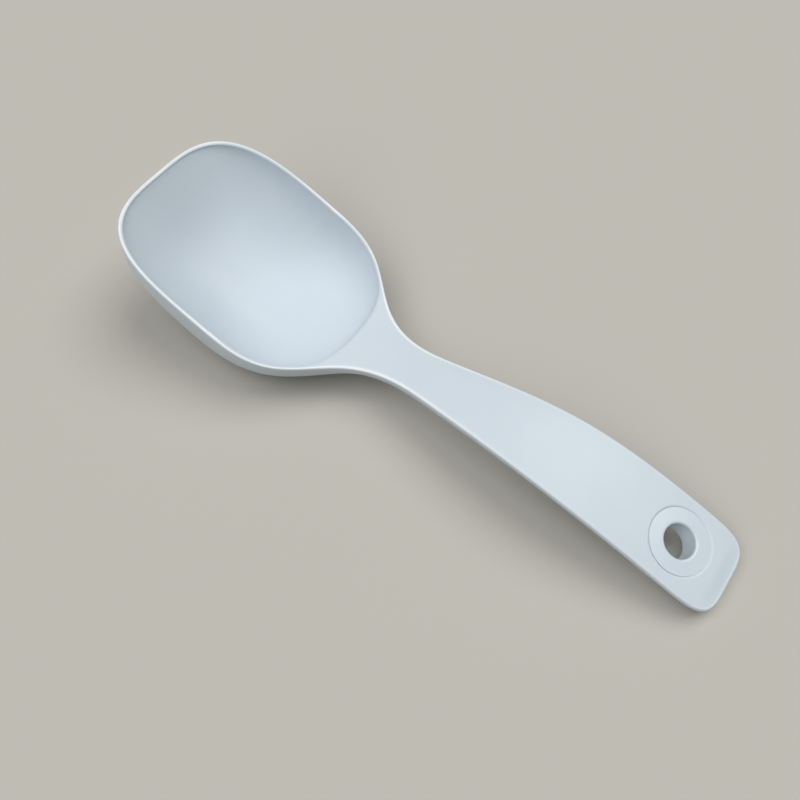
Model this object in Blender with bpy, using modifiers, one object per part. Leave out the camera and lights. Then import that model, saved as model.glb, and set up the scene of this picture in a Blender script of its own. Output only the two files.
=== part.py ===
"""Serving spoon in two pieces: a soft skin moulded over a stiffening core.

Metres, +Z up. The spoon rests on the plane z = 0 on the belly of its bowl and on the end of its
handle. The bowl points to -X, the handle to +X, and the plane y = 0 cuts it into equal halves.
Places along the spoon are measured from the tip of the bowl, and a parent empty then brings the
middle of the length to x = 0.

The skin is one loft: a line along the edge gives its height, the plan outline its width, and the
belly hangs below that edge, leaning towards the tip in the bowl. The bowl's hollow, the cavity for the core, the opening round the
hanging eye and the two small seats are cut from it. The core is a thin plate in the bowl and a
beam in the handle, with a turned boss at the eye. Pegs of the skin pass through its windows.
"""

import math

import bmesh
import bpy
import numpy as np
from mathutils import Vector

# Plan view
LENGTH = 0.2000             # tip of the bowl to end of the handle, lying on the table
BOWL_FRONT = 0.0437         # tip to the widest section
BOWL_WIDTH = 0.0594
HEEL_WIDTH = 0.0488
HEEL_REACH = 0.0213         # widest section to the heel of the bowl
THROAT_WIDTH = 0.0265
THROAT_REACH = 0.0130       # heel to throat
NECK_WIDTH = 0.0158
NECK_REACH = 0.0120         # throat to neck
GRIP_START_WIDTH = 0.0161
GRIP_START_REACH = 0.0168   # neck to the start of the grip
GRIP_WIDTH = 0.0240         # halfway from there to the rounded end
END_WIDTH = 0.0260
END_LENGTH = 0.0178         # length of the rounded end of the handle
TIP_POWER = 3.42            # superellipse powers: 2 is an ellipse, more is squarer
END_POWER = 4.60

# Side view: height of the upper edge above the table
TIP_HEIGHT = 0.0335
SHOULDER_HEIGHT = 0.0250
SHOULDER_LEAD = 0.0137      # ahead of the widest section
DIP_HEIGHT = 0.0123
DIP_REACH = 0.0263          # behind the widest section
GRIP_START_HEIGHT = 0.0132
GRIP_HEIGHT = 0.0157
END_HEIGHT = 0.0018

# Depth of the underside below the edge, and the crown of the handle above it
BOWL_DEPTH = 0.0185
BELLY_REACH = 0.0430        # widest section to where the bowl's belly runs out under the neck
HANDLE_DEPTH = 0.0070
END_DEPTH = 0.0062
END_TAPER = 0.0240          # length over which the handle thins towards its end
END_ROUNDING = 0.0050       # length of the rounded lower corner at the end
CROWN = 0.0008
LIP_ROUND = 0.0006          # edge radius round the bowl
HANDLE_ROUND = 0.0010       # edge radius along the handle
SEAT_CUT = 0.00015          # how deep each seat is cut into the belly and the handle's end
BELLY_FRONT_POWERS = (1.9, 1.25)
BELLY_REAR_POWERS = (1.9, 1.3)
BELLY_CROSS_POWERS = (6.4, 3.0)
HANDLE_CROSS_POWERS = (2.6, 2.1)
LEAN = 0.58                 # shift towards the tip for each unit of depth below the edge
LEAN_RUN = 0.0300           # length from the tip over which the lean sets in

# Hollow of the bowl
LIP = 0.0017                # width of the lip at the tip and at the widest section
LIP_LEAST = 0.0012          # least width of the lip beside the crease
LIP_SOFTENING = 0.0004      # how gently the hollow's outline bends to keep that least lip
CREASE_REACH = 0.0313       # widest section to the crease in front of the handle
CREASE_POWER = 2.5
LIP_FLARE = 0.0005          # radius of the lip's inner edge
HOLLOW_FRONT_POWERS = (1.9, 1.2)
HOLLOW_REAR_POWERS = (2.4, 1.5)
HOLLOW_CROSS_POWERS = (2.6, 1.6)

# Core and the skin round it
SKIN = 0.0009               # soft material outside the core, in the bowl and round the handle
PLATE = 0.0010              # thickness of the core in the bowl
CLEARANCE = 0.0003          # between the core and the skin, all round
BOWL_MARGIN = 0.0135        # soft side of the bowl that the plate leaves free
TIP_MARGIN = 0.0200         # and the same at the tip
HANDLE_MARGIN = 0.0026      # side of the handle to side of the beam
END_MARGIN = 0.0055         # end of the handle to end of the beam
BEAM_LEAD = 0.0130          # plate starts to turn into the beam this far ahead of the crease
BEAM_RUN = 0.0200           # and is all beam this far behind it
CORE_ROUND = 0.0003
BOWL_WINDOW = 0.0040        # diameter of the windows in the plate
BOWL_WINDOW_COUNT = 6
BOWL_WINDOW_RING = 0.0110   # radius of the ring that they stand on
HANDLE_WINDOW = 0.0050
HANDLE_WINDOW_COUNT = 3
HANDLE_WINDOW_PITCH = 0.0190
HANDLE_WINDOW_REACH = 0.0080  # start of the grip to the first window of the handle

# Hanging eye
EYE_SETBACK = 0.0162        # end of the handle to the middle of the eye
HOLE = 0.0100               # diameters
RING = 0.0184
UNDER_RING = 0.0144
RECESS = 0.00075            # boss below the handle's upper surface
UNDER_RECESS = 0.00090      # boss above the handle's underside
HOLE_ROUND = 0.0006

# Facets, and how far inside the outlines their closest rows lie
SKIN_SIDES, SKIN_ACROSS = 52, 16
HOLLOW_SIDES, HOLLOW_ACROSS = 20, 16
CORE_SIDES, CORE_ACROSS = 36, 8
BELLY_ROWS = (0.00015, 0.0005, 0.0012, 0.0024, 0.0040)
HOLLOW_ROWS = (0.00015, 0.0005, 0.0013, 0.0025)
TURNED_STEPS = 48
PEG_STEPS = 20

WIDEST = BOWL_FRONT
HEEL = WIDEST + HEEL_REACH
THROAT = HEEL + THROAT_REACH
NECK = THROAT + NECK_REACH
GRIP_START = NECK + GRIP_START_REACH
END_START = LENGTH - END_LENGTH
GRIP = (GRIP_START + END_START) / 2
CREASE = WIDEST + CREASE_REACH
BELLY_END = WIDEST + BELLY_REACH
EYE = LENGTH - EYE_SETBACK
BOWL_SLANT = math.hypot(1, (SHOULDER_HEIGHT - DIP_HEIGHT) / (SHOULDER_LEAD + DIP_REACH))
FLOOR = BOWL_SLANT * (2 * SKIN + 2 * CLEARANCE + PLATE)


def smooth(x, start, end):
    """Rises from 0 at start to 1 at end, level at both."""
    t = np.clip((x - start) / (end - start), 0, 1)
    return t * t * (3 - 2 * t)


def mix(first, second, share):
    return first + (second - first) * share


def arc(u, power, root):
    """(1 - |u|^power)^(1/root), a quarter of a superellipse where both are equal."""
    return (1 - np.clip(np.abs(u), 0, 1) ** power) ** (1 / root)


def soft_min(a, b, softening):
    return (a + b - np.sqrt((a - b) ** 2 + softening ** 2)) / 2


def spline(places, heights, level_ends=False):
    """Cubic spline through the points, as a function of the place.

    Its ends are free of bending, or level where level_ends is set.
    """
    places = np.array(places)
    heights = np.array(heights)
    step = np.diff(places)
    rise = np.diff(heights) / step
    matrix = np.eye(len(places))
    right = np.zeros(len(places))
    for k in range(1, len(places) - 1):
        matrix[k, k - 1:k + 2] = step[k - 1], 2 * (step[k - 1] + step[k]), step[k]
        right[k] = 6 * (rise[k] - rise[k - 1])
    if level_ends:
        matrix[0, :2] = 2 * step[0], step[0]
        matrix[-1, -2:] = step[-1], 2 * step[-1]
        right[0] = 6 * rise[0]
        right[-1] = -6 * rise[-1]
    bend = np.linalg.solve(matrix, right)

    def height(x):
        k = np.clip(np.searchsorted(places, x) - 1, 0, len(step) - 1)
        a = (places[k + 1] - x) / step[k]
        b = 1 - a
        cubic = (a ** 3 - a) * bend[k] + (b ** 3 - b) * bend[k + 1]
        return a * heights[k] + b * heights[k + 1] + cubic * step[k] ** 2 / 6

    return height


drawn_edge = spline(
    (0.0, WIDEST - SHOULDER_LEAD, WIDEST + DIP_REACH, GRIP_START, GRIP, LENGTH),
    (TIP_HEIGHT, SHOULDER_HEIGHT, DIP_HEIGHT, GRIP_START_HEIGHT, GRIP_HEIGHT, END_HEIGHT))
drawn_width = spline(
    (WIDEST, HEEL, THROAT, NECK, GRIP_START, GRIP, END_START),
    (BOWL_WIDTH, HEEL_WIDTH, THROAT_WIDTH, NECK_WIDTH, GRIP_START_WIDTH, GRIP_WIDTH, END_WIDTH),
    level_ends=True)


def half_width(x):
    """Half width of the plan outline: a superellipse at each end and a spline between."""
    front = BOWL_WIDTH / 2 * arc((WIDEST - x) / BOWL_FRONT, TIP_POWER, TIP_POWER)
    middle = drawn_width(np.clip(x, WIDEST, END_START)) / 2
    end = END_WIDTH / 2 * arc((x - END_START) / END_LENGTH, END_POWER, END_POWER)
    return np.where(x < WIDEST, front, np.where(x > END_START, end, middle))


def edge_round(x):
    return mix(LIP_ROUND, HANDLE_ROUND, smooth(x, CREASE, GRIP_START))


def belly_depth(x):
    """Depth of the underside below the rounded edge, on the middle plane."""
    front = arc((WIDEST - x) / BOWL_FRONT, *BELLY_FRONT_POWERS)
    rear = arc((x - WIDEST) / BELLY_REACH, *BELLY_REAR_POWERS)
    bowl = (BOWL_DEPTH - LIP_ROUND) * np.where(x < WIDEST, front, rear)
    depth = mix(HANDLE_DEPTH, END_DEPTH, smooth(x, LENGTH - END_TAPER, LENGTH))
    corner = arc(np.maximum(x - LENGTH + END_ROUNDING, 0) / END_ROUNDING, 4, 2)
    handle = (depth - HANDLE_ROUND) * smooth(x, WIDEST, BELLY_END) * corner
    return (bowl ** 4 + handle ** 4) ** 0.25


def resting_line():
    """Lift and slope that lay the lowest points of belly and handle end SEAT_CUT under z = 0."""
    x = np.linspace(0, LENGTH, 4001)
    low = drawn_edge(x) - edge_round(x) - belly_depth(x)
    lift, slope = 0.0, 0.0
    for _ in range(8):
        height = low + lift + slope * x
        bowl = np.argmin(np.where(x < NECK, height, np.inf))
        end = np.argmin(np.where(x > NECK, height, np.inf))
        slope = -(low[end] - low[bowl]) / (x[end] - x[bowl])
        lift = -low[bowl] - slope * x[bowl] - SEAT_CUT
    return lift, slope


LIFT, SLOPE = resting_line()


def edge_height(x):
    return drawn_edge(x) + LIFT + SLOPE * x


def lean(x):
    """Share of the depth by which a section is shifted forward: none at the tip and the neck."""
    missing = np.clip(1 - x / LEAN_RUN, 0, 1)
    return LEAN * (1 - missing ** 2) * (1 - smooth(x, WIDEST, NECK))


def leaned(x, z):
    """Place along the spoon where a point drawn at x and z comes to lie."""
    return x - lean(x) * (edge_height(x) - z)


def across(x, y):
    """How far out a point lies: 0 on the middle plane, 1 on the outline."""
    return np.clip(np.abs(y) / np.maximum(half_width(x), 1e-9), 0, 1)


def upper(x, y):
    """Upper surface without the hollow: level across the bowl, crowned along the handle."""
    crown = CROWN * smooth(x, BELLY_END, GRIP_START) * (1 - smooth(x, LENGTH - END_ROUNDING, LENGTH))
    return edge_height(x) + crown * (1 - across(x, y) ** 2)


def lower(x, y):
    """Underside: hangs from the rounded edge, upright there and flat in the middle."""
    handle = smooth(x, WIDEST, NECK)
    power, root = (mix(a, b, handle) for a, b in zip(BELLY_CROSS_POWERS, HANDLE_CROSS_POWERS))
    return edge_height(x) - edge_round(x) - belly_depth(x) * arc(across(x, y), power, root)


def hollow_half(x):
    """Half width of the bowl's opening, kept inside the outline by the least lip."""
    reach = np.where(x < WIDEST, BOWL_FRONT - LIP, CREASE_REACH)
    power = np.where(x < WIDEST, TIP_POWER, CREASE_POWER)
    drawn = (BOWL_WIDTH / 2 - LIP) * arc((x - WIDEST) / reach, power, power)
    slant = (half_width(x + 1e-5) - half_width(x - 1e-5)) / 2e-5
    limit = half_width(x) - LIP_LEAST * np.sqrt(1 + slant ** 2)
    kept = soft_min(drawn, limit, LIP_SOFTENING)
    return np.where((x > WIDEST) & (drawn > LIP), kept, drawn)


def hollow(x, y):
    """Inner surface of the bowl, from the flared lip down to FLOOR above the belly."""
    front = arc((WIDEST - x) / (BOWL_FRONT - LIP), *HOLLOW_FRONT_POWERS)
    rear = arc((x - WIDEST) / CREASE_REACH, *HOLLOW_REAR_POWERS)
    out = np.abs(y) / np.maximum(hollow_half(x), 1e-9)
    shape = np.where(x < WIDEST, front, rear) * arc(out, *HOLLOW_CROSS_POWERS)
    depth = BOWL_DEPTH - FLOOR - LIP_FLARE
    return edge_height(x) - LIP_FLARE - depth * shape


def steepness(surface, x, y):
    """Height per unit of distance square to the surface, both measured as it leans."""
    h = 1e-5
    before = surface(x - h, y)
    after = surface(x + h, y)
    along = (after - before) / (leaned(x + h, after) - leaned(x - h, before))
    straight = 1 - lean(x) * along
    over = (surface(x, y + h) - surface(x, y - h)) / (2 * h) * straight
    return np.sqrt(1 + along ** 2 + over ** 2) / straight


def core_half(x):
    """Half width of the core: the plate keeps BOWL_MARGIN, the beam HANDLE_MARGIN."""
    beam = smooth(x, CREASE - BEAM_LEAD, CREASE + BEAM_RUN)
    middle = half_width(x) - mix(BOWL_MARGIN, HANDLE_MARGIN, beam)
    front = (BOWL_WIDTH / 2 - BOWL_MARGIN) * arc(
        (WIDEST - x) / (BOWL_FRONT - TIP_MARGIN), TIP_POWER, TIP_POWER)
    end = (END_WIDTH / 2 - HANDLE_MARGIN) * arc(
        (x - END_START) / (END_LENGTH - END_MARGIN), END_POWER, END_POWER)
    return np.where(x < WIDEST, front, np.where(x > END_START, end, middle))


def core_lower(x, y):
    return lower(x, y) + (SKIN + CLEARANCE) * steepness(lower, x, y)


def core_upper(x, y):
    plate = core_lower(x, y) + PLATE * steepness(lower, x, y)
    beam = upper(x, y) - SKIN - CLEARANCE
    return mix(plate, beam, smooth(x, CREASE - BEAM_LEAD, CREASE + BEAM_RUN))


def closed_loop(half, front, end, sides, steps):
    """Outline as a loop of points, seen from above against the clock.

    front and end are (middle, reach, half width, power) of the superellipses that close it. Each
    of the four stretches runs between corners where those curves slant at equal shares.
    """
    corner_front = front[0] - front[1] * 2 ** (-1 / front[3])
    corner_end = end[0] + end[1] * 2 ** (-1 / end[3])
    t = np.linspace(0, 1, sides + 1)
    x = mix(corner_front, corner_end, mix(t, (1 - np.cos(np.pi * t)) / 2, 0.6))
    y = half(x)
    share = np.linspace(-1, 1, steps + 1)
    front_y = share * y[0]
    end_y = share * y[-1]
    front_x = front[0] - front[1] * arc(front_y / front[2], front[3], front[3])
    end_x = end[0] + end[1] * arc(end_y / end[2], end[3], end[3])
    near = np.column_stack((x, -y))[:-1]
    right = np.column_stack((end_x, end_y))[:-1]
    far = np.column_stack((x, y))[::-1][:-1]
    left = np.column_stack((front_x, front_y))[::-1][:-1]
    return np.vstack((near, right, far, left))


def moved_in(loop, distance):
    """The loop moved square to itself, inwards where distance is positive."""
    tangent = np.roll(loop, -1, axis=0) - np.roll(loop, 1, axis=0)
    tangent /= np.linalg.norm(tangent, axis=1, keepdims=True)
    inward = np.column_stack((-tangent[:, 1], tangent[:, 0]))
    return loop + inward * np.broadcast_to(distance, len(loop))[:, None]


def ring(loop, height):
    """Points above a loop, at a height that is a function of x and y or one value a point."""
    z = height(loop[:, 0], loop[:, 1]) if callable(height) else height
    return np.column_stack((loop, z))


def patch(loop, sides, steps):
    """Grid of plan points inside a loop: rows straight across, bowed near both ends."""
    grid = np.zeros((sides + 1, steps + 1, 2))
    for place, slot in zip(loop, loop_slots(sides, steps)):
        grid[slot] = place
    v = np.linspace(0, 1, steps + 1)[None, :, None]
    u = np.linspace(0, 1, sides + 1)[:, None, None]
    straight = (1 - v) * grid[:, :1] + v * grid[:, -1:]
    bow_front = grid[:1] - straight[:1]
    bow_end = grid[-1:] - straight[-1:]
    return straight + (1 - u) ** 3 * bow_front + u ** 3 * bow_end


def loop_slots(sides, steps):
    """Grid cells of a patch's edge, in the order of the loop's points."""
    slots = [(i, 0) for i in range(sides)]
    slots += [(sides, j) for j in range(steps)]
    slots += [(sides - i, steps) for i in range(sides)]
    slots += [(0, steps - j) for j in range(steps)]
    return slots


def lofted_mesh(name, rings, top, bottom, sides, steps):
    """Closed body through rings, each joined to the next, with a domed patch at either end."""
    count = len(rings[0])
    points = [tuple(point) for line in rings for point in line]
    faces = []
    for k in range(len(rings) - 1):
        for i in range(count):
            after = (i + 1) % count
            a, b = k * count + i, k * count + after
            faces.append((a, a + count, b + count, b))
    for line, first, surface, up in ((rings[0], 0, top, True),
                                     (rings[-1], (len(rings) - 1) * count, bottom, False)):
        plan = patch(line[:, :2], sides, steps)
        index = np.zeros((sides + 1, steps + 1), int)
        for i, slot in enumerate(loop_slots(sides, steps)):
            index[slot] = first + i
        for i in range(1, sides):
            for j in range(1, steps):
                x, y = plan[i, j]
                index[i, j] = len(points)
                points.append((x, y, float(surface(x, y))))
        for i in range(sides):
            for j in range(steps):
                face = (index[i, j], index[i + 1, j], index[i + 1, j + 1], index[i, j + 1])
                faces.append(face if up else face[::-1])
    points = np.array(points)
    points[:, 0] = leaned(points[:, 0], points[:, 2])
    mesh = bpy.data.meshes.new(name)
    mesh.from_pydata(points.tolist(), [], [tuple(int(v) for v in face) for face in faces])
    body = bmesh.new()
    body.from_mesh(mesh)
    bmesh.ops.remove_doubles(body, verts=body.verts, dist=1e-7)
    bmesh.ops.triangulate(body, faces=body.faces)
    body.to_mesh(mesh)
    body.free()
    return mesh


def skin_mesh():
    """Whole outside of the spoon: upper surface, rounded edge, belly."""
    loop = closed_loop(half_width, (WIDEST, BOWL_FRONT, BOWL_WIDTH / 2, TIP_POWER),
                       (END_START, END_LENGTH, END_WIDTH / 2, END_POWER), SKIN_SIDES, SKIN_ACROSS)
    radius = edge_round(loop[:, 0])
    inner = moved_in(loop, radius)
    crest = upper(inner[:, 0], inner[:, 1])
    foot = edge_height(loop[:, 0]) - radius
    rings = [ring(moved_in(loop, 2 * radius), upper)]
    for angle in np.radians((0, 22.5, 45, 67.5, 90)):
        inset = moved_in(loop, radius * (1 - np.sin(angle)))
        rings.append(ring(inset, mix(foot, crest, np.cos(angle))))
    for inset in BELLY_ROWS:
        rings.append(ring(moved_in(loop, inset), lower))
    return lofted_mesh("skin", rings, upper, lower, SKIN_SIDES, SKIN_ACROSS)


def hollow_mesh():
    """Body that is cut from the bowl: inner surface, flared lip and a roof above the edge."""
    loop = closed_loop(hollow_half, (WIDEST, BOWL_FRONT - LIP, BOWL_WIDTH / 2 - LIP, TIP_POWER),
                       (WIDEST, CREASE_REACH, BOWL_WIDTH / 2 - LIP, CREASE_POWER),
                       HOLLOW_SIDES, HOLLOW_ACROSS)
    lip = edge_height(loop[:, 0])
    roof = 2 * LIP_FLARE
    steepest = math.radians(60)
    rise = roof + LIP_FLARE * (1 - math.sin(steepest))
    top = moved_in(loop, -LIP_FLARE * (1 - math.cos(steepest)) - rise * math.tan(steepest))
    rings = [ring(top, edge_height(loop[:, 0]) + roof)]
    for angle in (steepest, steepest * 2 / 3, steepest / 3, 0.0):
        line = moved_in(loop, -LIP_FLARE * (1 - math.cos(angle)))
        rings.append(ring(line, lip - LIP_FLARE * (1 - math.sin(angle))))
    for inset in HOLLOW_ROWS:
        rings.append(ring(moved_in(loop, inset), hollow))

    def ceiling(x, y):
        return edge_height(x) + roof

    return lofted_mesh("hollow", rings, ceiling, hollow, HOLLOW_SIDES, HOLLOW_ACROSS)


def core_mesh(name, growth):
    """Plate and beam of the core, grown on every side to make the cavity that takes it."""
    loop = closed_loop(
        core_half,
        (WIDEST, BOWL_FRONT - TIP_MARGIN, BOWL_WIDTH / 2 - BOWL_MARGIN, TIP_POWER),
        (END_START, END_LENGTH - END_MARGIN, END_WIDTH / 2 - HANDLE_MARGIN, END_POWER),
        CORE_SIDES, CORE_ACROSS)
    loop = moved_in(loop, -growth)
    radius = CORE_ROUND + growth

    def top(x, y):
        return core_upper(x, y) + growth * steepness(lower, x, y)

    def bottom(x, y):
        return core_lower(x, y) - growth * steepness(lower, x, y)

    inner = moved_in(loop, radius)
    crest = top(inner[:, 0], inner[:, 1])
    foot = bottom(inner[:, 0], inner[:, 1])
    rings = []
    for angle in np.radians((0, 45, 90)):
        inset = moved_in(loop, radius * (1 - np.sin(angle)))
        rings.append(ring(inset, crest - radius * (1 - np.cos(angle))))
    for angle in np.radians((90, 45, 0)):
        inset = moved_in(loop, radius * (1 - np.sin(angle)))
        rings.append(ring(inset, foot + radius * (1 - np.cos(angle))))
    return lofted_mesh(name, rings, top, bottom, CORE_SIDES, CORE_ACROSS)


def eye_frame():
    """Middle of the eye on the upper surface, its outward axis and the handle's thickness there."""
    h = 1e-5
    slope = float((upper(EYE + h, 0.0) - upper(EYE - h, 0.0)) / (2 * h))
    middle = Vector((EYE, 0, float(upper(EYE, 0.0))))
    axis = Vector((-slope, 0, 1)).normalized()
    thickness = HANDLE_DEPTH
    for _ in range(20):
        point = middle - axis * thickness
        thickness += (point.z - float(lower(point.x, 0.0))) * axis.z
    return middle, axis, thickness


def boss_profile(thickness):
    """Radius and height of the boss, down its outer side, with the hole's rims rounded."""
    top = -RECESS
    bottom = -(thickness - UNDER_RECESS)
    outer = (RING - CLEARANCE) / 2
    points = [(outer, top), (outer, -thickness / 2), (UNDER_RING / 2, -thickness / 2),
              (UNDER_RING / 2, bottom)]
    middle = HOLE / 2 + HOLE_ROUND
    for angle in np.radians((270, 247.5, 225, 202.5, 180)):
        height = bottom + HOLE_ROUND + HOLE_ROUND * math.sin(angle)
        points.append((middle + HOLE_ROUND * math.cos(angle), height))
    for angle in np.radians((180, 157.5, 135, 112.5, 90)):
        height = top - HOLE_ROUND + HOLE_ROUND * math.sin(angle)
        points.append((middle + HOLE_ROUND * math.cos(angle), height))
    return points + points[:1]


def opening_profile(thickness):
    """Radius and height of the skin's opening: the boss and the clearance round it."""
    above = HANDLE_DEPTH
    below = -thickness - HANDLE_DEPTH
    step = -thickness / 2 - CLEARANCE
    outer = (RING + CLEARANCE) / 2
    under = UNDER_RING / 2 + CLEARANCE
    return [(0, above), (outer, above), (outer, step), (under, step), (under, below), (0, below)]


def material(name, colour, roughness):
    made = bpy.data.materials.new(name)
    made.use_nodes = True
    shader = made.node_tree.nodes["Principled BSDF"]
    shader.inputs["Base Color"].default_value = (*colour, 1.0)
    shader.inputs["Roughness"].default_value = roughness
    shader.inputs["Metallic"].default_value = 0.0
    made.diffuse_color = (*colour, 1.0)
    return made


def add_object(name, mesh, collection, parent):
    made = bpy.data.objects.new(name, mesh)
    collection.objects.link(made)
    made.parent = parent
    return made


def add_cutter(name, mesh, collection, parent):
    made = add_object(name, mesh, collection, parent)
    made.hide_render = True
    made.display_type = "WIRE"
    return made


def turned(name, profile, collection, parent, middle, axis):
    """Cutter or boss: the profile turned about the eye's axis."""
    mesh = bpy.data.meshes.new(name)
    corners = [(radius, 0, height) for radius, height in profile]
    mesh.from_pydata(corners, [(i, i + 1) for i in range(len(corners) - 1)], [])
    made = add_cutter(name, mesh, collection, parent)
    made.location = middle
    made.rotation_euler = (0, math.atan2(axis.x, axis.z), 0)
    screw = made.modifiers.new("Turn", "SCREW")
    screw.steps = TURNED_STEPS
    screw.render_steps = TURNED_STEPS
    screw.use_merge_vertices = True
    screw.merge_threshold = 1e-5
    return made


def cylinder_mesh(name, places, diameter, low, high):
    """Upright cylinders at places (x, y), from low to high."""
    body = bmesh.new()
    for x, y in places:
        made = bmesh.ops.create_cone(body, cap_ends=True, segments=PEG_STEPS, radius1=diameter / 2,
                                     radius2=diameter / 2, depth=high - low)
        bmesh.ops.translate(body, verts=made["verts"], vec=(x, y, (low + high) / 2))
    mesh = bpy.data.meshes.new(name)
    body.to_mesh(mesh)
    body.free()
    return mesh


def boolean(target, cutter, operation="DIFFERENCE"):
    made = target.modifiers.new(cutter.name, "BOOLEAN")
    made.operation = operation
    made.solver = "EXACT"
    made.object = cutter


def bowl_windows():
    """Ring of places round the middle of the plate, where that comes to lie."""
    middle = leaned(WIDEST, core_lower(WIDEST, 0.0))
    turns = np.arange(BOWL_WINDOW_COUNT) * 2 * np.pi / BOWL_WINDOW_COUNT
    return [(middle + BOWL_WINDOW_RING * np.cos(t), BOWL_WINDOW_RING * np.sin(t)) for t in turns]


def handle_windows():
    """Row of places along the handle."""
    first = GRIP_START + HANDLE_WINDOW_REACH
    return [(first + k * HANDLE_WINDOW_PITCH, 0.0) for k in range(HANDLE_WINDOW_COUNT)]


def add_window_cutters(name, shrink, cutters, frame):
    """Windows of the core, or with shrink the skin's pegs that pass through them."""
    made = []
    high = TIP_HEIGHT + BOWL_DEPTH
    for group, places, diameter in (("bowl", bowl_windows(), BOWL_WINDOW),
                                    ("handle", handle_windows(), HANDLE_WINDOW)):
        label = f"{group}_{name}"
        mesh = cylinder_mesh(label, places, diameter - 2 * shrink, -BOWL_DEPTH, high)
        made.append(add_cutter(label, mesh, cutters, frame))
    return made


def shade(target, angle):
    """Smooth shading with sharp edges kept, set on the mesh that the modifiers start from."""
    target.data.shade_smooth()
    target.data.set_sharp_from_angle(angle=math.radians(angle))


def build():
    for old in list(bpy.data.objects):
        bpy.data.objects.remove(old)
    parts = bpy.data.collections.new("serving_spoon")
    cutters = bpy.data.collections.new("cutters")
    bpy.context.scene.collection.children.link(parts)
    bpy.context.scene.collection.children.link(cutters)
    frame = bpy.data.objects.new("spoon_frame", None)
    parts.objects.link(frame)
    frame.location = (-LENGTH / 2, 0, 0)
    middle, axis, thickness = eye_frame()

    skin = add_object("silicone_skin", skin_mesh(), parts, frame)
    skin.data.materials.append(material("white_silicone", (0.80, 0.83, 0.85), 0.55))
    core = add_object("stiffening_core", core_mesh("core", 0.0), parts, frame)
    core.data.materials.append(material("white_nylon", (0.82, 0.84, 0.85), 0.25))

    cavity = add_cutter("cavity", core_mesh("cavity", CLEARANCE), cutters, frame)
    for peg in add_window_cutters("pegs", CLEARANCE, cutters, frame):
        boolean(cavity, peg)
    boolean(skin, add_cutter("hollow", hollow_mesh(), cutters, frame))
    boolean(skin, cavity)
    opening = opening_profile(thickness)
    boolean(skin, turned("eye_opening", opening, cutters, frame, middle, axis))
    body = bmesh.new()
    bmesh.ops.create_cube(body, size=1.0)
    bmesh.ops.scale(body, verts=body.verts, vec=(2 * LENGTH, 2 * BOWL_WIDTH, BOWL_DEPTH))
    bmesh.ops.translate(body, verts=body.verts, vec=(LENGTH / 2, 0, -BOWL_DEPTH / 2))
    table = bpy.data.meshes.new("table")
    body.to_mesh(table)
    body.free()
    boolean(skin, add_cutter("table", table, cutters, frame))

    for window in add_window_cutters("windows", 0.0, cutters, frame):
        boolean(core, window)
    room = (HOLE + UNDER_RING) / 4
    socket = [(0, HANDLE_DEPTH), (room, HANDLE_DEPTH), (room, -2 * HANDLE_DEPTH - thickness),
              (0, -2 * HANDLE_DEPTH - thickness)]
    boolean(core, turned("eye_socket", socket, cutters, frame, middle, axis))
    boss = turned("eye_boss", boss_profile(thickness), cutters, frame, middle, axis)
    boolean(core, boss, "UNION")
    shade(skin, 35)
    shade(core, 35)


if __name__ == "__main__":
    build()
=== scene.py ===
"""Serving spoon on a table: fine surfaces, finishes, floor, lamps and camera.

Metres, +Z up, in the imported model's frame: the spoon's length runs along X, from the bowl's tip at
-X to the handle's end, and it is symmetric about y = 0. Places along the spoon are worked out
from the tip of the bowl and moved to that frame when a mesh is made.
"""
import math

import bmesh
import bpy
import numpy as np
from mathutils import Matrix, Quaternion, Vector


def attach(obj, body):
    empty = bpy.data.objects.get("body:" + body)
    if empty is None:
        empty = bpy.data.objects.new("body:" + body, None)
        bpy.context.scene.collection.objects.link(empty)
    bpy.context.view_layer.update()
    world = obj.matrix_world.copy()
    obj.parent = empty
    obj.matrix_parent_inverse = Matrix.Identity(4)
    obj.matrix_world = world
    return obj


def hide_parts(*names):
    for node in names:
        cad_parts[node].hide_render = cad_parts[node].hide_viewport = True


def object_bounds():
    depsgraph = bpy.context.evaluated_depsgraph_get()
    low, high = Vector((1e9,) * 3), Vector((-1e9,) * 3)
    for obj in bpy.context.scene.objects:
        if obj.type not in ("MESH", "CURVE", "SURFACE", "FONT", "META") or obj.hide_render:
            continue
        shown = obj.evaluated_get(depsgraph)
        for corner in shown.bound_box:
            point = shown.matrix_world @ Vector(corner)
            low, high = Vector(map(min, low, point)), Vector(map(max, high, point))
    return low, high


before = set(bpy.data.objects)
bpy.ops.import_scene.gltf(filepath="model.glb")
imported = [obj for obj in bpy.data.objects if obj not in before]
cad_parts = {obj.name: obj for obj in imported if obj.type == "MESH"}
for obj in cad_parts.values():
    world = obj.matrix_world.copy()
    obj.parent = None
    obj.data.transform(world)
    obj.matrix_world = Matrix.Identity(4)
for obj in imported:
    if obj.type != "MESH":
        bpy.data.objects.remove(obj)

bl_info = {
    "name": "Serving spoon",
    "version": (1, 0, 0),
    "blender": (4, 5, 0),
    "location": "3D View > Sidebar > Spoon",
    "description": "A soft-skinned serving spoon with a hanging eye, on a plain table",
    "category": "Object",
}

CAD_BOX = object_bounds()
CAD_LENGTH = CAD_BOX[1].x - CAD_BOX[0].x

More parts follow.
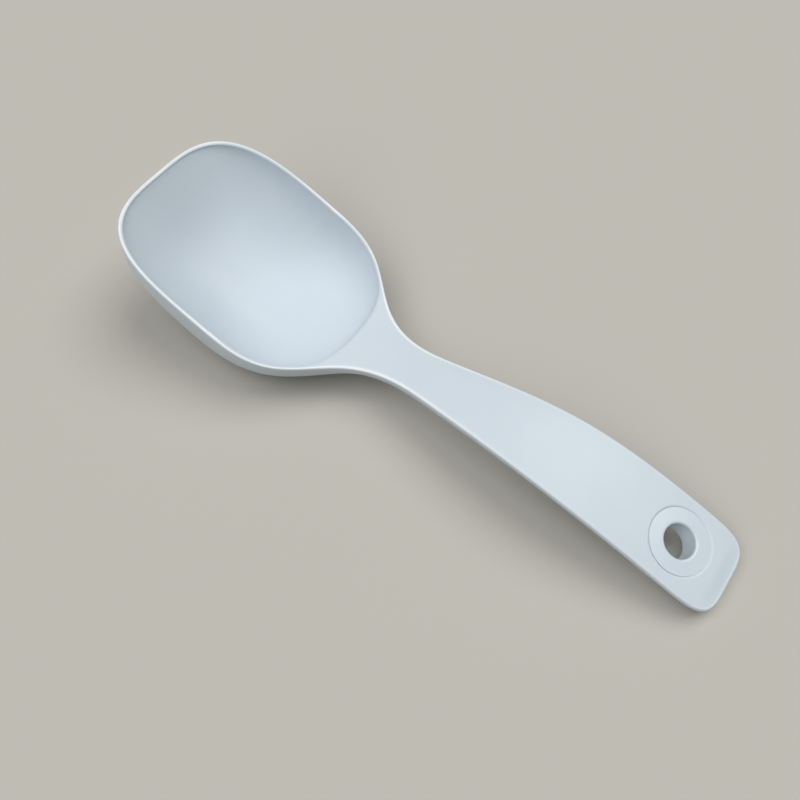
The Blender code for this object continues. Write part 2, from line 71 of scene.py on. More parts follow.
# Rows and columns of the grids
BOWL_COLUMNS = 230
HANDLE_COLUMNS = 150
EYE_COLUMNS = 64
BELLY_ROWS = 42
EDGE_ROWS = 7
TOP_ROWS = 18
HOLLOW_ROWS = 44
RIM_ROWS = 6
ROUND_STEPS = 8
BORE_STEPS = 7
FACE_STEPS = 8
UNDER_FACE_STEPS = 4
BOSS_STEPS = 192
DENSE = 6001            # points of the curves that the columns are taken from
RESTING_POINTS = 4001   # points at which the height above the table is taken
CROWDING = 2.2          # power that crowds the rows of belly and hollow towards one side
EDGE_ANGLES = np.linspace(0, np.pi / 2, EDGE_ROWS + 1)
ROUND_ANGLES = np.linspace(0, np.pi / 2, ROUND_STEPS + 1)

# Accuracy, in metres but for the rounds
NUDGE = 1e-5            # step over which a slope is taken
SHORT = 1e-4            # reach of the blunt rear end of the hollow's outline
TINY = 1e-9             # shorter than any real length
MERGED = 1e-6           # points nearer than this become one
FLAT = 1e-7             # edges shorter than this are taken out
ROUNDS = 30             # rounds of a search, after which it no longer moves

# Shape
MEETING_POWER = 4       # how tightly bowl and handle blend where they meet underneath
CORNER_POWERS = (4, 2)  # fullness and steepness of the lower corner at the handle's end
HIGHLIGHT_LOSS = 0.85       # share of the painted highlight on the crest that is gone halfway along the grip
SKIN_EDGE = 60          # degrees between faces from which an edge of the skin is sharp
CORE_EDGE = 50          # the same for the core

# Sockets of a Mix node: its share, and its ends and result for numbers and for colours
SHARE = 0
NUMBER_A, NUMBER_B, NUMBER = 2, 3, 0
COLOUR_A, COLOUR_B, COLOUR = 6, 7, 2

TABLE_REACH = 20.0
TABLE_DROP = 0.00002    # gap under the seats, so that no two faces share a plane
SENSOR = 36.0           # width of the camera's sensor in millimetres

# Soft lamps far away: name, tilt from upright, direction from +X, strength and angular width
LAMPS = (("window", 31, 74, 1.70, 46), ("ceiling", 25, 226, 1.38, 50),
         ("front_fill", 56, 270, 0.50, 40))


def size(name, metres, description):
    return bpy.props.FloatProperty(
        name=name, description=description, default=metres, min=0.00001, unit="LENGTH", precision=5)


def power(name, value, description):
    return bpy.props.FloatProperty(
        name=name, description=description, default=value, min=1.0, max=10.0)


def colour(name, hex_code, description):
    return bpy.props.StringProperty(name=name, description=description, default=hex_code)


class SpoonSizes(bpy.types.PropertyGroup):
    """Sizes of the spoon: those of the solids, but for its edges and the eye.

    The lip is thinner and rounder, the handle's edges are sharper, the hole and the ring are
    slightly smaller, and the ring lies less deep.
    """
    length: size("Length", CAD_LENGTH, "Tip of the bowl to the end of the handle")
    bowl_front: size("Bowl front", 0.0437, "Tip to the widest section")
    bowl_width: size("Bowl width", 0.0594, "Across the widest section")
    heel_width: size("Heel width", 0.0488, "Width at the heel of the bowl")
    heel_reach: size("Heel reach", 0.0213, "Widest section to the heel")
    throat_width: size("Throat width", 0.0265, "Width between bowl and neck")
    throat_reach: size("Throat reach", 0.0130, "Heel to throat")
    neck_width: size("Neck width", 0.0158, "Width of the neck")
    neck_reach: size("Neck reach", 0.0120, "Throat to neck")
    grip_start_width: size("Grip start width", 0.0161, "Width where the grip starts")
    grip_start_reach: size("Grip start reach", 0.0168, "Neck to the start of the grip")
    grip_width: size("Grip width", 0.0240, "Width halfway along the grip")
    end_width: size("End width", 0.0260, "Width of the handle's end")
    end_length: size("End length", 0.0178, "Length of the rounded end")
    tip_height: size("Tip height", 0.0335, "Edge above the table at the tip")
    shoulder_height: size("Shoulder height", 0.0250, "Edge height ahead of the widest section")
    shoulder_lead: size("Shoulder lead", 0.0137, "Shoulder to the widest section")
    dip_height: size("Dip height", 0.0123, "Edge height behind the widest section")
    dip_reach: size("Dip reach", 0.0263, "Widest section to the dip")
    grip_start_height: size("Grip start height", 0.0132, "Edge height where the grip starts")
    grip_height: size("Grip height", 0.0157, "Edge height halfway along the grip")
    end_height: size("End height", 0.0018, "Edge height at the handle's end")
    bowl_depth: size("Bowl depth", 0.0185, "Edge to the outside of the belly")
    belly_reach: size("Belly reach", 0.0430, "Widest section to where the belly runs out")
    lean_run: size("Lean run", 0.0300, "Length from the tip over which the lean sets in")
    handle_depth: size("Handle depth", 0.0070, "Edge to underside along the handle")
    end_depth: size("End depth", 0.0062, "Edge to underside at the handle's end")
    end_taper: size("End taper", 0.0240, "Length over which the handle thins")
    end_rounding: size("End rounding", 0.0050, "Length of the lower corner at the end")
    crown: size("Crown", 0.0008, "Crown of the handle above its edges")
    lip_round: size("Lip round", 0.0006, "Edge radius round the bowl")
    handle_round: size("Handle round", 0.0006, "Edge radius along the handle")
    seat_cut: size("Seat cut", 0.00015, "Depth of the seats under belly and end")
    lip: size("Lip", 0.0013, "Width of the bowl's lip")
    lip_least: size("Least lip", 0.0012, "Least width of the lip beside the crease")
    lip_softening: size("Lip softening", 0.0004, "How gently the hollow keeps that least lip")
    crease_reach: size("Crease reach", 0.0313, "Widest section to the crease")
    lip_flare: size("Lip flare", 0.00065, "Radius of the lip's inner edge")
    side_flare: size("Side flare", 0.0005, "The same where the lip is narrowest")
    crease_flare: size("Crease flare", 0.0013, "The same at the crease")
    # Painted highlight: distance over which the bright crest fades out over the top
    highlight_fade: size("Crest fade", 0.0004, "Distance over which the bright crest runs out")
    skin: size("Skin", 0.0009, "Soft material outside the core")
    plate: size("Plate", 0.0010, "Thickness of the core in the bowl")
    clearance: size("Clearance", 0.0003, "Between the core and the skin")
    bowl_margin: size("Bowl margin", 0.0135, "Soft side of the bowl without a plate")
    tip_margin: size("Tip margin", 0.0200, "Soft front of the bowl without a plate")
    handle_margin: size("Handle margin", 0.0026, "Side of the handle to side of the beam")
    end_margin: size("End margin", 0.0055, "End of the handle to end of the beam")
    beam_lead: size("Beam lead", 0.0130, "Plate starts to turn into the beam ahead of the crease")
    beam_run: size("Beam run", 0.0200, "Plate is all beam behind the crease")
    core_round: size("Core round", 0.0003, "Edge radius of the core")
    eye_setback: size("Eye setback", 0.0162, "End of the handle to the middle of the eye")
    hole: size("Hole", 0.0095, "Diameter of the hanging hole")
    ring: size("Ring", 0.0179, "Diameter of the ring in the upper surface")
    under_ring: size("Under ring", 0.0144, "Diameter of the ring in the underside")
    recess: size("Recess", 0.00048, "Ring below the upper surface")
    under_recess: size("Under recess", 0.00020, "Rim of the hole above the underside")
    under_rise: size("Under rise", 0.0005, "How far the ring underneath rises from its rim")
    hole_round: size("Hole round", 0.0006, "Edge radius of the hole")
    face_rise: size("Face rise", 0.0002, "How far the ring's face rises towards the hole")
    rim_round: size("Rim round", 0.0007, "Edge radius of the skin at the eye")
    lean: bpy.props.FloatProperty(
        name="Lean", description="Shift of the bowl towards its tip for each unit of depth",
        default=0.58, min=0.0, max=1.0)
    tip_power: power("Tip power", 3.42, "Squareness of the bowl's front, 2 is an ellipse")
    end_power: power("End power", 4.60, "Squareness of the handle's end")
    crease_power: power("Crease power", 2.5, "Squareness of the crease")
    belly_front_power: power("Belly front", 1.9, "How full the belly is towards the tip")
    belly_front_root: power("Belly front root", 1.25, "How steeply it leaves the tip")
    belly_rear_power: power("Belly rear", 1.9, "How full the belly is towards the neck")
    belly_rear_root: power("Belly rear root", 1.3, "How steeply it runs out there")
    belly_cross_power: power("Belly across", 6.4, "How full the belly is across")
    belly_cross_root: power("Belly across root", 3.0, "How upright its sides are")
    handle_cross_power: power("Handle across", 2.6, "How full the handle is across")
    handle_cross_root: power("Handle across root", 2.1, "How upright its sides are")
    hollow_front_power: power("Hollow front", 1.9, "How full the hollow is towards the tip")
    hollow_front_root: power("Hollow front root", 1.2, "How steeply it leaves the tip")
    hollow_rear_power: power("Hollow rear", 2.4, "How full the hollow is towards the crease")
    hollow_rear_root: power("Hollow rear root", 1.5, "How steeply it reaches the crease")
    hollow_cross_power: power("Hollow across", 2.6, "How full the hollow is across")
    hollow_cross_root: power("Hollow across root", 1.6, "How steeply it leaves the lip")


class SpoonColours(bpy.types.PropertyGroup):
    """Colours of the spoon and its stage, as sRGB hex codes."""
    skin: colour("Skin", "#D0DBE3", "Cool white of the matt skin")
    skin_shade: colour("Skin, duller", "#CCD7DF", "Slightly duller patches of the skin")
    nylon: colour("Nylon", "#D2DDE5", "Cool white of the hard core at the eye")
    nylon_shade: colour("Nylon, duller", "#CDD8E1", "Flow marks in the nylon")
    # Crest: painted highlight along the lip and the rounded edges
    crest: colour("Crest", "#F1F5F8", "Bright crest of the lip")
    floor: colour("Floor", "#BDBAB2", "Pale warm table")
    backdrop: colour("Backdrop", "#EFEEEB", "Pale room behind the table")


class StageSettings(bpy.types.PropertyGroup):
    """Camera and lamps."""
    azimuth: bpy.props.FloatProperty(
        name="Azimuth", description="Camera's turn round the spoon", subtype="ANGLE",
        default=math.radians(35.18))
    elevation: bpy.props.FloatProperty(
        name="Elevation", description="Camera's height above the table as an angle",
        subtype="ANGLE", default=math.radians(61.70))
    roll: bpy.props.FloatProperty(
        name="Roll", description="Camera's turn about its own axis", subtype="ANGLE",
        default=math.radians(0.95))
    distance: size("Distance", 0.225, "Camera to its target")
    target: bpy.props.FloatVectorProperty(
        name="Target", description="Point that the camera looks at", subtype="TRANSLATION",
        default=(-0.00108, -0.01006, 0.01187))
    lens: bpy.props.FloatProperty(
        name="Lens", description="Focal length on a 36 mm sensor, in millimetres", default=35.01)
    lamp_level: bpy.props.FloatProperty(
        name="Lamps", description="Level of all the lamps together", default=1.0)
    world_strength: bpy.props.FloatProperty(
        name="Surroundings", description="Strength of the light from all round", default=0.08)


def smooth(x, start, end):
    """Rises from 0 at start to 1 at end, level at both."""
    t = np.clip((x - start) / (end - start), 0, 1)
    return t * t * (3 - 2 * t)


def mix(first, second, share):
    return first + (second - first) * share


def arc(u, along, root):
    """(1 - |u|^along)^(1/root), a quarter of a superellipse where both are equal."""
    return (1 - np.clip(np.abs(u), 0, 1) ** along) ** (1 / root)


def soft_min(a, b, softening):
    return (a + b - np.sqrt((a - b) ** 2 + softening ** 2)) / 2


def spline(places, heights, level_ends=False):
    """Cubic spline through the points, as a function of the place, its ends straight or level."""
    places = np.array(places)
    heights = np.array(heights)
    step = np.diff(places)
    rise = np.diff(heights) / step
    matrix = np.eye(len(places))
    right = np.zeros(len(places))
    inner = np.arange(1, len(places) - 1)
    matrix[inner, inner - 1] = step[:-1]
    matrix[inner, inner] = 2 * (step[:-1] + step[1:])
    matrix[inner, inner + 1] = step[1:]
    right[inner] = 6 * np.diff(rise)
    if level_ends:
        matrix[0, :2] = 2 * step[0], step[0]
        matrix[-1, -2:] = step[-1], 2 * step[-1]
        right[0] = 6 * rise[0]
        right[-1] = -6 * rise[-1]
    bend = np.linalg.solve(matrix, right)

    def height(x):
        k = np.clip(np.searchsorted(places, x) - 1, 0, len(step) - 1)
        a = (places[k + 1] - x) / step[k]
        b = 1 - a
        cubic = (a ** 3 - a) * bend[k] + (b ** 3 - b) * bend[k + 1]
        return a * heights[k] + b * heights[k + 1] + cubic * step[k] ** 2 / 6

    return height


class SpoonShape:
    """Every surface of the spoon as a function of the place in plan, from its sizes."""

    def __init__(self, sizes):
        s = self.sizes = sizes
        self.widest = s.bowl_front
        self.heel = self.widest + s.heel_reach
        throat = self.heel + s.throat_reach
        self.neck = throat + s.neck_reach
        self.grip_start = self.neck + s.grip_start_reach
        self.end_start = s.length - s.end_length
        grip = (self.grip_start + self.end_start) / 2
        self.crease = self.widest + s.crease_reach
        self.belly_end = self.widest + s.belly_reach
        self.eye = s.length - s.eye_setback
        self.opening = (s.ring + s.clearance) / 2
        self.under_opening = s.under_ring / 2 + s.clearance
        self.ends = ((self.widest, s.bowl_front, s.bowl_width / 2, s.tip_power),
                     (self.end_start, s.end_length, s.end_width / 2, s.end_power))
        self.core_ends = (
            (self.widest, s.bowl_front - s.tip_margin, s.bowl_width / 2 - s.bowl_margin,
             s.tip_power),
            (self.end_start, s.end_length - s.end_margin, s.end_width / 2 - s.handle_margin,
             s.end_power))
        slant = math.hypot(
            1, (s.shoulder_height - s.dip_height) / (s.shoulder_lead + s.dip_reach))
        self.bowl_wall = slant * (2 * s.skin + 2 * s.clearance + s.plate)
        self.drawn_edge = spline(
            (0.0, self.widest - s.shoulder_lead, self.widest + s.dip_reach, self.grip_start,
             grip, s.length),
            (s.tip_height, s.shoulder_height, s.dip_height, s.grip_start_height, s.grip_height,
             s.end_height))
        self.drawn_width = spline(
            (self.widest, self.heel, throat, self.neck, self.grip_start, grip, self.end_start),
            (s.bowl_width, s.heel_width, s.throat_width, s.neck_width, s.grip_start_width,
             s.grip_width, s.end_width), level_ends=True)
        self.lift, self.slope = self.resting_line()
        self.eye_middle, self.eye_axis, self.eye_thickness = self.eye_frame()

    def plan_half(self, x, ends, middle):
        """Half width of a plan outline: middle, with a quarter superellipse at each end.

        An end is (start, reach, half width, power): half (1 - |share|^power)^(1/power), with the
        share of the reach that lies beyond the start.
        """
        front, rear = [half * arc((x - start) / reach, power, power)
                       for start, reach, half, power in ends]
        return np.where(x < self.widest, front, np.where(x > self.end_start, rear, middle))

    def half_width(self, x):
        """Half width of the spoon, a spline between its two ends."""
        middle = self.drawn_width(np.clip(x, self.widest, self.end_start)) / 2
        return self.plan_half(x, self.ends, middle)

    def edge_round(self, x):
        s = self.sizes
        return mix(s.lip_round, s.handle_round, smooth(x, self.crease, self.grip_start))

    def belly_depth(self, x):
        """Depth of the underside below the rounded edge, on the middle plane."""
        s = self.sizes
        front = arc((x - self.widest) / s.bowl_front, s.belly_front_power, s.belly_front_root)
        rear = arc((x - self.widest) / s.belly_reach, s.belly_rear_power, s.belly_rear_root)
        bowl = (s.bowl_depth - s.lip_round) * np.where(x < self.widest, front, rear)
        depth = mix(s.handle_depth, s.end_depth, smooth(x, s.length - s.end_taper, s.length))
        corner = arc(np.maximum(x - s.length + s.end_rounding, 0) / s.end_rounding,
                     *CORNER_POWERS)
        handle = (depth - s.handle_round) * smooth(x, self.widest, self.belly_end) * corner
        return (bowl ** MEETING_POWER + handle ** MEETING_POWER) ** (1 / MEETING_POWER)

    def resting_line(self):
        """Lift and slope that lay the lowest points of belly and handle end on the table.

        The line through the two lowest points is taken off, until they no longer move.
        """
        x = np.linspace(0, self.sizes.length, RESTING_POINTS)
        low = self.drawn_edge(x) - self.edge_round(x) - self.belly_depth(x)
        lift, slope = 0.0, 0.0
        for _ in range(ROUNDS):
            height = low + lift + slope * x
            bowl = np.argmin(np.where(x < self.neck, height, np.inf))
            end = np.argmin(np.where(x > self.neck, height, np.inf))
            slope = -(low[end] - low[bowl]) / (x[end] - x[bowl])
            lift = -low[bowl] - slope * x[bowl] - self.sizes.seat_cut
        return lift, slope

    def edge_height(self, x):
        return self.drawn_edge(x) + self.lift + self.slope * x

    def lean(self, x):
        """Share of the depth by which a section is shifted forward: none at tip and neck."""
        missing = np.clip(1 - x / self.sizes.lean_run, 0, 1)
        return self.sizes.lean * (1 - missing ** 2) * (1 - smooth(x, self.widest, self.neck))

    def leaned(self, x, z):
        """Place along the spoon where a point drawn at x and z comes to lie."""
        return x - self.lean(x) * (self.edge_height(x) - z)

    def across(self, x, y):
        """How far out a point lies: 0 on the middle plane, 1 on the outline."""
        return np.clip(np.abs(y) / np.maximum(self.half_width(x), TINY), 0, 1)

    def upper(self, x, y):
        """Upper surface without the hollow: level across the bowl, crowned along the handle."""
        s = self.sizes
        crown = s.crown * smooth(x, self.belly_end, self.grip_start)
        crown = crown * (1 - smooth(x, s.length - s.end_rounding, s.length))
        return self.edge_height(x) + crown * (1 - self.across(x, y) ** 2)

    def lower(self, x, y):
        """Underside: hangs from the rounded edge, upright there and flat in the middle."""
        s = self.sizes
        handle = smooth(x, self.widest, self.neck)
        hang = self.belly_depth(x) * arc(
            self.across(x, y), mix(s.belly_cross_power, s.handle_cross_power, handle),
            mix(s.belly_cross_root, s.handle_cross_root, handle))
        return self.edge_height(x) - self.edge_round(x) - hang

    def resting(self, x, y):
        """Underside with its two seats: the part below the table is brought up to it.

        (z + root of (z^2 + blend^2)) / 2, which turns gently from z to level.
        """
        z = self.lower(x, y)
        blend = self.sizes.seat_cut / 3
        return (z + np.sqrt(z * z + blend * blend)) / 2

    def hollow_half(self, x):
        """Half width of the bowl's opening, kept inside the outline by the least lip."""
        s = self.sizes
        reach = np.where(x < self.widest, s.bowl_front - s.lip, s.crease_reach)
        square = np.where(x < self.widest, s.tip_power, s.crease_power)
        drawn = (s.bowl_width / 2 - s.lip) * arc((x - self.widest) / reach, square, square)
        slant = (self.half_width(x + NUDGE) - self.half_width(x - NUDGE)) / (2 * NUDGE)
        limit = self.half_width(x) - s.lip_least * np.sqrt(1 + slant ** 2)
        kept = soft_min(drawn, limit, s.lip_softening)
        return np.where((x > self.widest) & (drawn > s.lip), kept, drawn)

    def flare(self, x):
        """Radius of the lip's inner edge: least beside the crease, largest at the crease."""
        s = self.sizes
        side = mix(s.lip_flare, s.side_flare, smooth(x, self.widest - s.shoulder_lead, self.heel))
        return mix(side, s.crease_flare, smooth(x, self.crease - s.heel_reach / 4, self.crease))

    def hollow(self, x, y):
        """Inner surface of the bowl, from the flared lip down to the wall above the belly.

        Depth times two superellipse arcs, one of the place along and one of the place across.
        """
        s = self.sizes
        ahead = x - self.widest
        front = arc(ahead / (s.bowl_front - s.lip), s.hollow_front_power, s.hollow_front_root)
        rear = arc(ahead / s.crease_reach, s.hollow_rear_power, s.hollow_rear_root)
        out = np.abs(y) / np.maximum(self.hollow_half(x), TINY)
        shape = np.where(x < self.widest, front, rear)
        shape = shape * arc(out, s.hollow_cross_power, s.hollow_cross_root)
        depth = s.bowl_depth - self.bowl_wall - self.flare(x)
        return self.edge_height(x) - self.flare(x) - depth * shape

    def steepness(self, surface, x, y):
        """Height per unit of distance square to the surface, both measured as it leans."""
        h = NUDGE
        before = surface(x - h, y)
        after = surface(x + h, y)
        along = (after - before) / (self.leaned(x + h, after) - self.leaned(x - h, before))
        straight = 1 - self.lean(x) * along
        over = (surface(x, y + h) - surface(x, y - h)) / (2 * h) * straight
        return np.sqrt(1 + along ** 2 + over ** 2) / straight

    def beam_share(self, x):
        """0 where the core is all plate, 1 where it is all beam."""
        s = self.sizes
        return smooth(x, self.crease - s.beam_lead, self.crease + s.beam_run)

    def core_half(self, x):
        """Half width of the core, a margin inside the outline."""
        s = self.sizes
        middle = self.half_width(x) - mix(s.bowl_margin, s.handle_margin, self.beam_share(x))
        return self.plan_half(x, self.core_ends, middle)

    def core_lower(self, x, y):
        """Underside of the core: skin and clearance above the spoon's own, square to it."""
        s = self.sizes
        return self.lower(x, y) + (s.skin + s.clearance) * self.steepness(self.lower, x, y)

    def core_upper(self, x, y):
        """Top of the core: the thin plate's in the bowl, then the beam's under the handle."""
        s = self.sizes
        plate = self.core_lower(x, y) + s.plate * self.steepness(self.lower, x, y)
        beam = self.upper(x, y) - s.skin - s.clearance
        return mix(plate, beam, self.beam_share(x))

    def eye_frame(self):
        """Middle of the eye on the upper surface, its outward axis, the thickness there."""
        before = float(self.upper(self.eye - NUDGE, 0.0))
        after = float(self.upper(self.eye + NUDGE, 0.0))
        slope = (after - before) / (2 * NUDGE)
        middle = np.array((self.eye, 0.0, float(self.upper(self.eye, 0.0))))
        axis = np.array((-slope, 0.0, 1.0)) / math.hypot(slope, 1)
        thickness = self.sizes.handle_depth
        for _ in range(ROUNDS):
            point = middle - axis * thickness
            thickness += (point[2] - float(self.lower(point[0], 0.0))) * axis[2]
        return middle, axis, thickness

    def eye_point(self, turn, radius, height):
        """Point at a turn, a radius and a height about the eye's axis; turn 0 faces the end."""
        axis = self.eye_axis
        along = np.array((axis[2], 0.0, -axis[0]))
        over = np.array((0.0, 1.0, 0.0))
        turn, radius, height = np.broadcast_arrays(turn, radius, height)
        return (self.eye_middle + (radius * np.cos(turn))[..., None] * along
                + (radius * np.sin(turn))[..., None] * over + height[..., None] * axis)

    def eye_circle(self, surface, turn, radius, guess):
        """Height about the eye at which a circle of that radius meets a surface."""
        height = np.full(turn.shape, guess)
        for _ in range(ROUNDS):
            point = self.eye_point(turn, radius, height)
            height += (surface(point[:, 0], point[:, 1]) - point[:, 2]) * self.eye_axis[2]
        return height


def seamed(points):
    """The points, with their first and last column put on the middle plane."""
    points[..., [0, -1], 1] = 0
    return points


def near_outline(half, front, end):
    """Dense near half of a plan outline, tip to end, and its inward normals.

    A quarter superellipse (front), y = -half(x), and a quarter superellipse (end). Each of those
    is (start, reach, half width, power), with x = start -+ reach cos^(2/power) of the turn.
    """
    front_start, front_reach, front_half, front_power = front
    end_start, end_reach, end_half, end_power = end
    turn = np.linspace(0, np.pi / 2, DENSE)
    rise = np.sin(turn)
    fall = np.cos(turn)
    tip = np.column_stack((front_start - front_reach * fall ** (2 / front_power),
                           -front_half * rise ** (2 / front_power)))
    back = np.column_stack((end_start + end_reach * rise ** (2 / end_power),
                            -end_half * fall ** (2 / end_power)))
    x = np.linspace(front_start, end_start, DENSE)[1:-1]
    middle = np.column_stack((x, -half(x)))
    points = seamed(np.vstack((tip, middle, back)))
    keep = np.ones(len(points), bool)
    keep[1:] = np.hypot(*np.diff(points, axis=0).T) > TINY
    points = points[keep]
    tangent = np.gradient(points, axis=0)
    normal = np.column_stack((-tangent[:, 1], tangent[:, 0]))
    normal /= np.linalg.norm(normal, axis=1, keepdims=True)
    normal[0] = 1, 0
    normal[-1] = -1, 0
    return points, normal


def lengths_along(points):
    """Length from the first point to each point of a curve in plan."""
    return np.concatenate(([0], np.cumsum(np.hypot(*np.diff(points, axis=0).T))))


def taken(values, lengths, places):
    """Rows of values at those lengths along a dense curve."""
    return np.column_stack([np.interp(places, lengths, column) for column in values.T])


def outline_columns(points, normal, corners, counts):
    """Columns along a dense outline, with even steps between its corners.

    corners are lengths along it, and counts how many steps lie between two of them.
    """
    lengths = lengths_along(points)
    share = np.concatenate([[0]] + [np.arange(1, n + 1) / n + k for k, n in enumerate(counts)])
    places = np.interp(share, np.arange(len(corners)), corners)
    place = seamed(taken(points, lengths, places))
    facing = taken(normal, lengths, places)
    facing /= np.linalg.norm(facing, axis=1, keepdims=True)
    return place, facing


def length_at(points, x):
    """Length along a dense outline at which it first reaches x."""
    return np.interp(x, np.maximum.accumulate(points[:, 0]), lengths_along(points))


def middle_line(x):
    """Points of the middle plane in plan."""
    return np.column_stack((x, np.zeros(len(x))))


def rows_between(first, second, shares, surface):
    """Rows of points over the straight plan lines from first to second, laid on a surface."""
    plan = mix(first[None, :, :2], second[None, :, :2], np.array(shares)[:, None, None])
    return np.dstack((plan, surface(plan[..., 0], plan[..., 1])))


def edge_rows(place, facing, radius, foot, crest):
    """Quarter round from the outline at foot height to a crest that lies a radius inside it."""
    inset = radius[None, :] * (1 - np.cos(EDGE_ANGLES))[:, None]
    plan = place[None] + facing[None] * inset[..., None]
    return np.dstack((plan, mix(foot[None], crest[None], np.sin(EDGE_ANGLES)[:, None])))


def flare_rows(shape, place, facing):
    """Quarter round of the lip's inner edge, from the top surface down to the lip's line."""
    angles = EDGE_ANGLES[::-1][:, None]
    radius = shape.flare(place[:, 0])
    plan = place[None] - facing[None] * (radius[None] * (1 - np.cos(angles)))[..., None]
    height = shape.edge_height(place[:, 0])[None] - radius[None] * (1 - np.sin(angles))
    height[0] = shape.upper(plan[0, :, 0], plan[0, :, 1])
    return np.dstack((plan, height))


def crowded(count, start_full=False):
    """Shares from 0 to 1 that crowd towards 0, or with start_full from 1 down towards 0."""
    shares = (np.arange(count + 1) / count) ** CROWDING
    return shares[::-1] if start_full else shares


def sheet_faces(rows, columns):
    """Quads of a grid of rows, each with the same columns."""
    index = np.arange(rows * columns).reshape(rows, columns)
    return np.stack((index[:-1, :-1], index[:-1, 1:], index[1:, 1:], index[1:, :-1]),
                    axis=-1).reshape(-1, 4)


def mirrored_mesh(name, shape, grids, highlights=()):
    """Closed body from grids of the near half, leaned and copied to y > 0, its seams merged.

    Each grid is rows x columns x 3. Its rows run so that the faces look outwards. The last argument
    holds, for each grid, rows x columns of painted highlight and smoother surface; they become the
    mesh attribute that the materials read.
    """
    shift = np.array((-shape.sizes.length / 2, 0, 0))
    points = []
    faces = []
    start = 0
    for grid in grids:
        quads = sheet_faces(*grid.shape[:2])
        near = grid.reshape(-1, 3)
        near[:, 0] = shape.leaned(near[:, 0], near[:, 2])
        far = near * (1, -1, 1)
        points += [near + shift, far + shift]
        faces += [quads + start, quads[:, ::-1] + start + len(near)]
        start += 2 * len(near)
    if not highlights:
        highlights = [np.zeros(grid.shape[:2]) for grid in grids]
    polish_and_highlight = np.concatenate([np.tile(values.ravel(), 2) for values in highlights])
    return merged_mesh(name, np.vstack(points), np.vstack(faces), polish_and_highlight)


def merged_mesh(name, points, faces, polish_and_highlight):
    """Mesh from points and quads, with doubled points and flat faces taken out, smooth.

    The last argument is 0 to 1 for each point: how much smoother the surface is there, and on the
    skin how far a painted highlight lightens it.
    """
    mesh = bpy.data.meshes.new(name)
    mesh.vertices.add(len(points))
    mesh.vertices.foreach_set("co", points.astype(np.float32).ravel())
    mesh.loops.add(4 * len(faces))
    mesh.loops.foreach_set("vertex_index", faces.astype(np.int32).ravel())
    mesh.polygons.add(len(faces))
    mesh.polygons.foreach_set("loop_start", np.arange(len(faces), dtype=np.int32) * 4)
    mesh.update(calc_edges=True)
    layer = mesh.attributes.new("polish_and_highlight", "FLOAT", "POINT")
    layer.data.foreach_set("value", polish_and_highlight.astype(np.float32))
    body = bmesh.new()
    body.from_mesh(mesh)
    bmesh.ops.remove_doubles(body, verts=body.verts, dist=MERGED)
    bmesh.ops.dissolve_degenerate(body, edges=body.edges, dist=FLAT)
    body.to_mesh(mesh)
    body.free()
    mesh.shade_smooth()
    return mesh


def lip_columns(shape, counts):
    """Columns along the lip of the hollow, blunt at its rear end: places and inward normals."""
    s = shape.sizes
    rear = shape.crease - SHORT
    lip, inward = near_outline(
        shape.hollow_half,
        (shape.widest, s.bowl_front - s.lip, s.bowl_width / 2 - s.lip, s.tip_power),
        (rear, SHORT, float(shape.hollow_half(rear)), 2.0))
    corners = (0, length_at(lip, shape.widest), lengths_along(lip)[-1])
    return outline_columns(lip, inward, corners, counts)


def eye_opening(shape):
    """Wall of the skin round the eye, and the circles where it meets the top and the underside.

    A profile turned about the eye's axis: a quarter round down from the top, a straight wall,
    a step inwards, a straight wall, and a quarter round out to the underside.
    """
    s = shape.sizes
    rim = shape.opening + s.rim_round
    under_rim = shape.under_opening + s.rim_round
    turn = np.linspace(np.pi, 2 * np.pi, EYE_COLUMNS + 1)
    above = shape.eye_circle(shape.upper, turn, rim, 0.0)
    below = shape.eye_circle(shape.lower, turn, under_rim, -shape.eye_thickness)
    step = -shape.eye_thickness / 2 - s.clearance
    angles = np.linspace(0, np.pi / 2, RIM_ROWS + 1)
    profile = [(rim - s.rim_round * np.sin(a), above - s.rim_round * (1 - np.cos(a)))
               for a in angles]
    profile += [(shape.opening, mix(above - s.rim_round, step, share)) for share in (0.5, 1.0)]
    profile += [(shape.under_opening, np.full(turn.shape, step)),
                (shape.under_opening, mix(step, below + s.rim_round, 0.5))]
    profile += [(under_rim - s.rim_round * np.sin(a), below + s.rim_round * (1 - np.cos(a)))
                for a in angles[::-1]]
    wall = np.stack([shape.eye_point(turn, radius, height) for radius, height in profile])
    return (wall, shape.eye_point(turn, rim, above),
            shape.eye_point(turn, under_rim, below))


